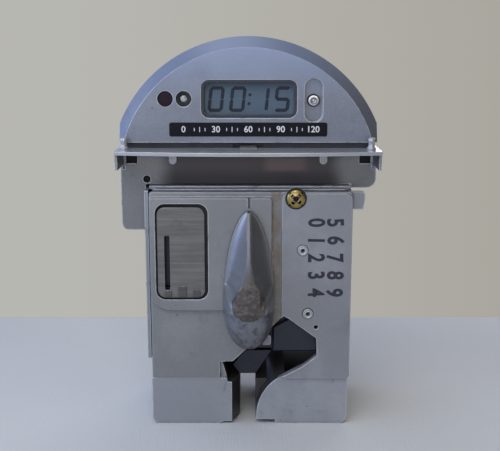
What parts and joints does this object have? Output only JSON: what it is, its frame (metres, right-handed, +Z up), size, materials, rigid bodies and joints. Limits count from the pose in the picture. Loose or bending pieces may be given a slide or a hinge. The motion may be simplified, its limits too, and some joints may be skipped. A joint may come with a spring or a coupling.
{
  "type": "parking meter mechanism",
  "caption": "Single-space parking meter works: half-round display head on a shelf, back plate, coin slot, twist handle and coin gap between two legs.",
  "frame": {"origin": "middle of the footprint, on the surface the legs stand on", "axes": "+X right seen from the front, +Y to the back, +Z up"},
  "size_m": [0.152, 0.0926, 0.233],
  "materials": {
    "paint": "satin silver-grey paint",
    "shelf_paint": "satin silver-grey paint, worn glossy",
    "handle_metal": "silver-grey paint worn to bare casting at the nose",
    "coin_plate_metal": "warm grey worn plate",
    "bright_steel": "plated steel",
    "zinc_yellow": "yellow zinc plate",
    "bronze": "sintered bronze",
    "black_plastic": "black moulded plastic",
    "white_plastic": "natural acetal",
    "rubber": "black rubber",
    "board": "green circuit board",
    "clear_glass": "clear",
    "dark_lens": "dark infra-red window",
    "display_grey": "grey liquid-crystal display",
    "label_black": "black strip with white scale",
    "coil_copper": "enamelled copper wire",
    "cell_wrap": "printed cell sleeve",
    "ribbon_grey": "grey ribbon"
  },
  "bodies": {
    "chassis": {"dial_cover": "paint", "head_rear_cover": "paint", "display_frame": "black_plastic", "display_window": "clear_glass", "display_cell": "display_grey", "elastomer_connectors": "rubber", "display_board": "board", "sensor_window": "dark_lens", "lamp_ring": "black_plastic", "status_lamp": "clear_glass", "dial_screw": "bright_steel", "minute_label": "label_black", "rear_window": "dark_lens", "shelf_plate": "shelf_paint", "head_gasket": "rubber", "locating_studs": "bright_steel", "head_screws": "bright_steel", "back_plate": "paint", "front_cover": "paint", "service_plate": "paint", "cover_screw": "zinc_yellow", "cover_rivets": "bright_steel", "side_frame_left": "paint", "side_frame_right": "paint", "deck": "paint", "leg_left": "paint", "leg_right": "paint", "rear_cover": "paint", "chassis_screws": "bright_steel", "battery_holder": "black_plastic", "batteries": "cell_wrap", "coin_plate": "coin_plate_metal", "coin_plate_gasket": "rubber", "coin_track": "black_plastic", "shutter_pin": "bright_steel", "coin_chute": "black_plastic", "coin_funnel": "black_plastic", "coin_sensor_coil": "coil_copper", "sensor_housing": "black_plastic", "guide_post": "paint", "mechanism_frame": "black_plastic", "bearing_plate": "bright_steel", "standoffs": "bright_steel", "shaft_bushing": "bronze", "return_spring": "bright_steel", "wake_switch": "black_plastic", "control_board": "board", "ribbon_cable": "ribbon_grey"},
    "handle": {"twist_handle": "handle_metal", "handle_pin": "bright_steel", "handle_shaft": "bright_steel", "shaft_clip": "bright_steel", "drive_gear": "bronze", "wake_cam": "white_plastic"},
    "rotor": {"coin_rotor": "white_plastic", "rotor_gear": "white_plastic", "rotor_shaft": "bright_steel"},
    "switch_button": {"switch_plunger": "white_plastic"},
    "shutter": {"slot_shutter": "black_plastic"},
    "door": {"battery_door": "black_plastic"}
  },
  "joints": [
    {"name": "handle_turn", "type": "hinge", "parent": "chassis", "child": "handle", "pos_m": [0.0004, -0.019, 0.092], "axis": [0, 1, 0], "range_deg": [0, 90], "stiffness_Nm_per_rad": 0.05, "springref_deg": -17.19},
    {"name": "rotor_turn", "type": "hinge", "parent": "chassis", "child": "rotor", "pos_m": [-0.03547, -0.019, 0.084], "axis": [0, 1, 0], "range_deg": [-120, 0]},
    {"name": "switch_press", "type": "slide", "parent": "chassis", "child": "switch_button", "axis": [0, 0, 1], "range_m": [0, 0.0025]},
    {"name": "shutter_swing", "type": "hinge", "parent": "chassis", "child": "shutter", "pos_m": [-0.0476, -0.0134, 0.11955], "axis": [1, 0, 0], "range_deg": [0, 70], "stiffness_Nm_per_rad": 0.002, "springref_deg": -11.46},
    {"name": "door_slide", "type": "slide", "parent": "chassis", "child": "door", "axis": [0, 0, 1], "range_m": [0, 0.024]}
  ],
  "couplings": [
    {"joint": "rotor_turn", "follows": "handle_turn", "ratio": -1.3333},
    {"joint": "switch_press", "follows": "handle_turn", "m_per_rad": 0.0015915}
  ]
}
